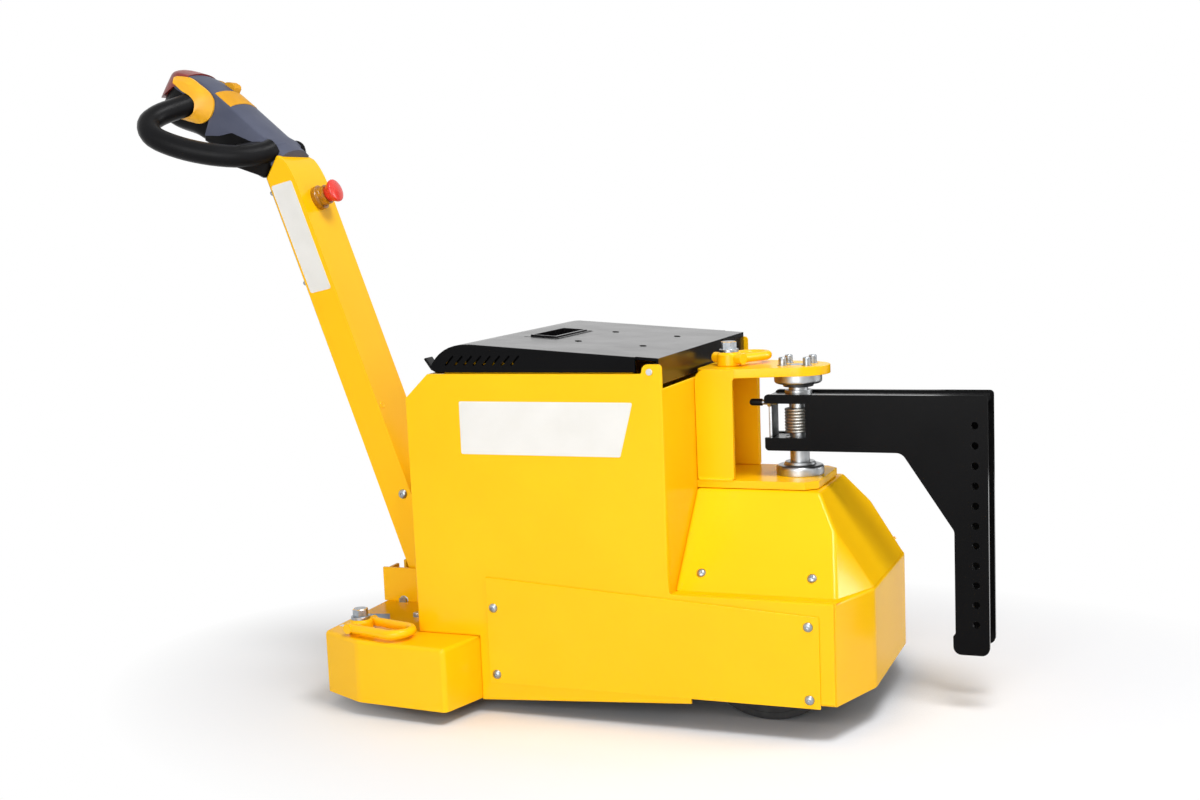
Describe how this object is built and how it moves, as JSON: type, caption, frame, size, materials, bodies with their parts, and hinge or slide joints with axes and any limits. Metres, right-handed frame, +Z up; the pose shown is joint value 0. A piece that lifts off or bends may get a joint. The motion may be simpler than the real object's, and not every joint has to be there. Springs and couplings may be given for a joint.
{
  "type": "electric tugger",
  "caption": "Pedestrian electric tugger: boxed battery body with hinged lid, tilting tiller with looped grips, drive wheels, castors and a sprung swinging hitch arm.",
  "frame": {"origin": "on the floor under the middle of the overall box", "axes": "+X forward to the hitch arm, +Y to the left, +Z up"},
  "size_m": [1.4287, 0.616, 1.0415],
  "materials": {
    "yellow_paint": "gloss powder coat on steel sheet",
    "black_paint": "satin powder coat on steel",
    "steel": "turned bright steel",
    "cast_metal": "cast and machined",
    "battery_case": "moulded case",
    "slate_plastic": "fine grained moulding",
    "black_plastic": "moulded",
    "grip_rubber": "smooth soft grip",
    "yellow_plastic": "moulded",
    "red_plastic": "moulded",
    "amber_collar": "translucent moulded collar",
    "tyre": "solid rubber",
    "castor_tread": "polyurethane tread"
  },
  "bodies": {
    "chassis": {"side_plate_left": "yellow_paint", "side_plate_right": "yellow_paint", "rear_wall": "yellow_paint", "front_wall": "yellow_paint", "base_plate": "yellow_paint", "rear_bumper": "yellow_paint", "front_skirt": "yellow_paint", "front_cover": "yellow_paint", "service_panels": "yellow_paint", "tower": "yellow_paint", "tower_top_plate": "yellow_paint", "tower_bottom_plate": "yellow_paint", "hitch_pin": "steel", "bearing_top": "steel", "bearing_bottom": "steel", "tiller_bracket": "yellow_paint", "tiller_pin": "steel", "lifting_eye_front": "yellow_paint", "lifting_eyes_rear": "yellow_paint", "battery_block": "battery_case", "drive_unit": "cast_metal", "lid_pins": "steel", "castor_plates": "steel"},
    "lid": {"lid_panel": "black_paint", "lid_pull": "black_paint", "lid_tab": "black_paint"},
    "tiller": {"tiller_arm": "yellow_paint", "head_cover": "slate_plastic", "head_base": "black_plastic", "handle_loop_left": "grip_rubber", "handle_loop_right": "grip_rubber", "butterflies": "yellow_plastic", "belly_button": "red_plastic", "head_switch": "yellow_plastic", "estop_collar": "amber_collar", "estop_button": "red_plastic"},
    "hitch_arm": {"arm_plate_left": "black_paint", "arm_plate_right": "black_paint", "arm_web": "black_paint", "arm_bush": "steel", "torsion_spring": "steel", "spring_anchor": "steel"},
    "drive_wheel_left": {"tyre_left": "tyre", "hub_left": "cast_metal"},
    "drive_wheel_right": {"tyre_right": "tyre", "hub_right": "cast_metal"},
    "castor_left": {"castor_fork_left": "steel"},
    "castor_right": {"castor_fork_right": "steel"},
    "castor_roller_left": {"castor_wheel_left": "castor_tread"},
    "castor_roller_right": {"castor_wheel_right": "castor_tread"}
  },
  "joints": [
    {"name": "lid_hinge", "type": "hinge", "parent": "chassis", "child": "lid", "pos_m": [0.264, 0, 0.532], "axis": [0, 1, 0], "range_deg": [0, 75]},
    {"name": "tiller_tilt", "type": "hinge", "parent": "chassis", "child": "tiller", "pos_m": [-0.213, 0, 0.157], "axis": [0, -1, 0], "range_deg": [0, 30]},
    {"name": "arm_swing", "type": "hinge", "parent": "chassis", "child": "hitch_arm", "pos_m": [0.426, 0, 0.43], "axis": [0, 0, 1], "range_deg": [-40, 40], "stiffness_Nm_per_rad": 12},
    {"name": "drive_wheel_left_spin", "type": "hinge", "parent": "chassis", "child": "drive_wheel_left", "pos_m": [0.408, 0.128, 0.115], "axis": [0, 1, 0], "continuous": true},
    {"name": "castor_left_swivel", "type": "hinge", "parent": "chassis", "child": "castor_left", "pos_m": [-0.15, 0.195, 0.095], "axis": [0, 0, 1], "continuous": true},
    {"name": "castor_left_spin", "type": "hinge", "parent": "castor_left", "child": "castor_roller_left", "pos_m": [-0.182, 0.195, 0.04], "axis": [0, 1, 0], "continuous": true},
    {"name": "drive_wheel_right_spin", "type": "hinge", "parent": "chassis", "child": "drive_wheel_right", "pos_m": [0.408, -0.128, 0.115], "axis": [0, 1, 0], "continuous": true},
    {"name": "castor_right_swivel", "type": "hinge", "parent": "chassis", "child": "castor_right", "pos_m": [-0.15, -0.195, 0.095], "axis": [0, 0, 1], "continuous": true},
    {"name": "castor_right_spin", "type": "hinge", "parent": "castor_right", "child": "castor_roller_right", "pos_m": [-0.182, -0.195, 0.04], "axis": [0, 1, 0], "continuous": true}
  ]
}
